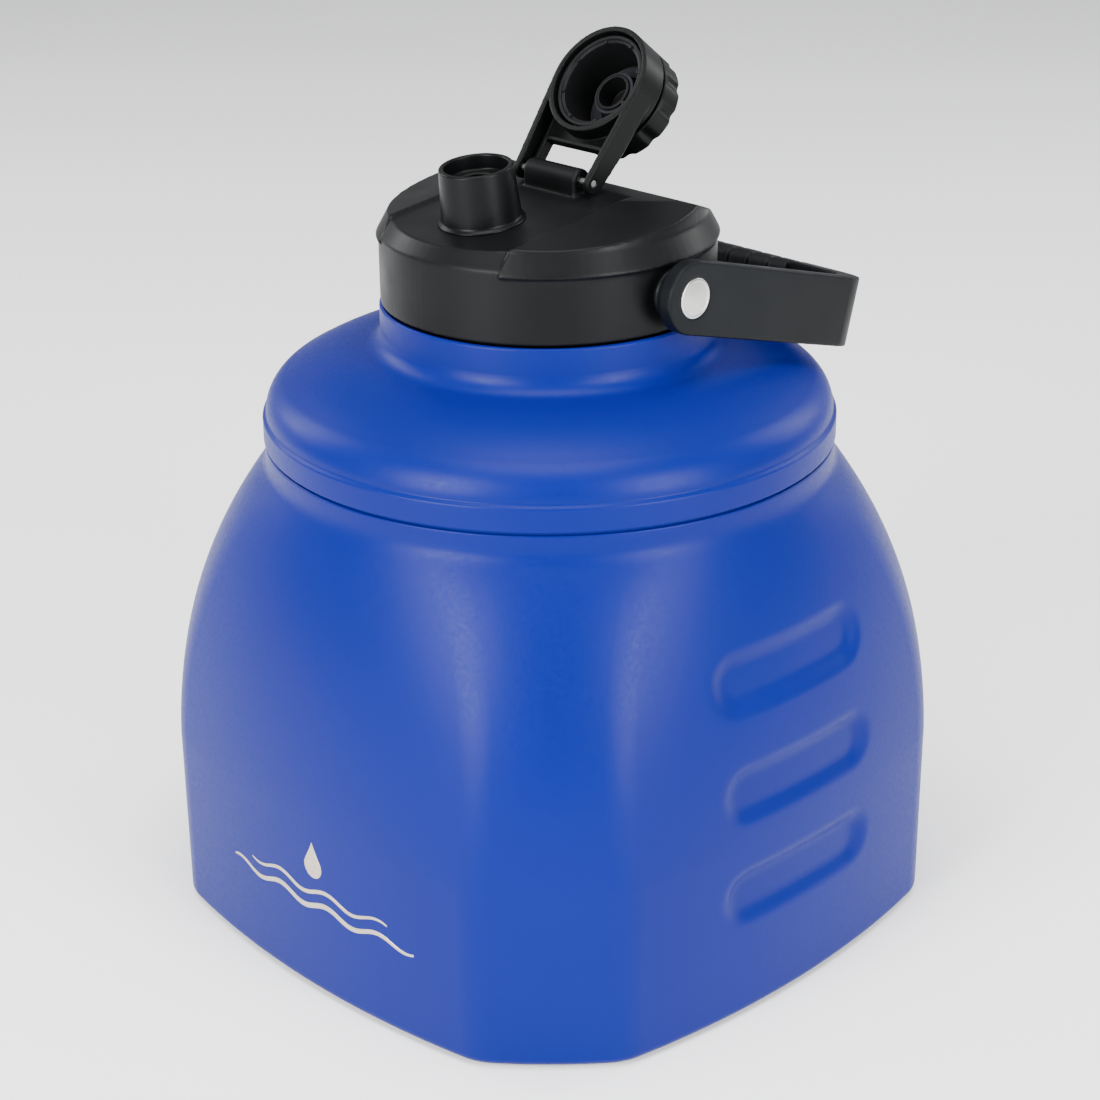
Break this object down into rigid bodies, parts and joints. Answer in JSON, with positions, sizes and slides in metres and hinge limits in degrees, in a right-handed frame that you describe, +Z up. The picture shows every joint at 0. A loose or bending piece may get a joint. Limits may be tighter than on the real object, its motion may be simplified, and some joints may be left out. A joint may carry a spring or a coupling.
{
  "type": "large water jug",
  "caption": "Large insulated metal water jug, rounded square body with grip recesses, screw lid, flip-up spout cap with a twist knob and a swinging carry handle.",
  "frame": {"origin": "centre of the jug's foot on the floor", "axes": "+Z up, -Y towards the drinking spout, +Y towards the side where the carry handle rests, +X along the handle's pivot line, across one of the two faces with grip recesses"},
  "size_m": [0.2552, 0.2552, 0.3281],
  "materials": {
    "blue_coat": "satin, fine orange-peel powder coat",
    "steel": "brushed",
    "hardware": "turned",
    "black_plastic": "satin, fine grain",
    "handle_plastic": "satin, fine grain",
    "stopper_plastic": "satin",
    "grip_rubber": "matte, soft touch",
    "foot_rubber": "matte",
    "seal_rubber": "matte",
    "silicone": "matte, milky"
  },
  "bodies": {
    "jug": {"outer_shell": "blue_coat", "base_plate": "steel", "base_pad": "foot_rubber", "vacuum_seal_cap": "hardware", "shoulder_dome": "blue_coat", "inner_vessel": "steel", "neck_ring": "black_plastic"},
    "lid_carrier": {"lid_gasket": "silicone"},
    "lid": {"lid_shell": "black_plastic", "lid_liner": "black_plastic", "spout": "black_plastic", "hinge_pin": "hardware", "pivot_bush_left": "hardware", "pivot_bush_right": "hardware", "pivot_screw_left": "hardware", "pivot_screw_right": "hardware"},
    "cap_arm": {"flip_arm": "black_plastic"},
    "cap_knob": {"twist_knob": "black_plastic", "stopper_cup": "stopper_plastic", "rim_seal": "seal_rubber", "plug_seal": "seal_rubber"},
    "handle": {"handle_frame": "handle_plastic", "handle_grip": "grip_rubber", "pivot_disc_left": "steel", "pivot_disc_right": "steel"}
  },
  "joints": [
    {"name": "lid_lift", "type": "slide", "parent": "jug", "child": "lid_carrier", "axis": [0, 0, 1], "range_m": [0, 0.0301]},
    {"name": "lid_turn", "type": "hinge", "parent": "lid_carrier", "child": "lid", "pos_m": [0, 0, 0.25], "axis": [0, 0, 1], "range_deg": [0, 1080]},
    {"name": "cap_flip", "type": "hinge", "parent": "lid", "child": "cap_arm", "pos_m": [0, 0.0045, 0.2802], "axis": [1, 0, 0], "range_deg": [0, 135]},
    {"name": "cap_twist", "type": "hinge", "parent": "cap_arm", "child": "cap_knob", "pos_m": [0, 0.02759, 0.30975], "axis": [0, -0.788, 0.6157], "range_deg": [0, 90]},
    {"name": "handle_swing", "type": "hinge", "parent": "lid", "child": "handle", "pos_m": [0, 0, 0.2505], "axis": [1, 0, 0], "range_deg": [0, 208]}
  ],
  "couplings": [
    {"joint": "lid_lift", "follows": "lid_turn", "m_per_rad": 0.0015915}
  ]
}
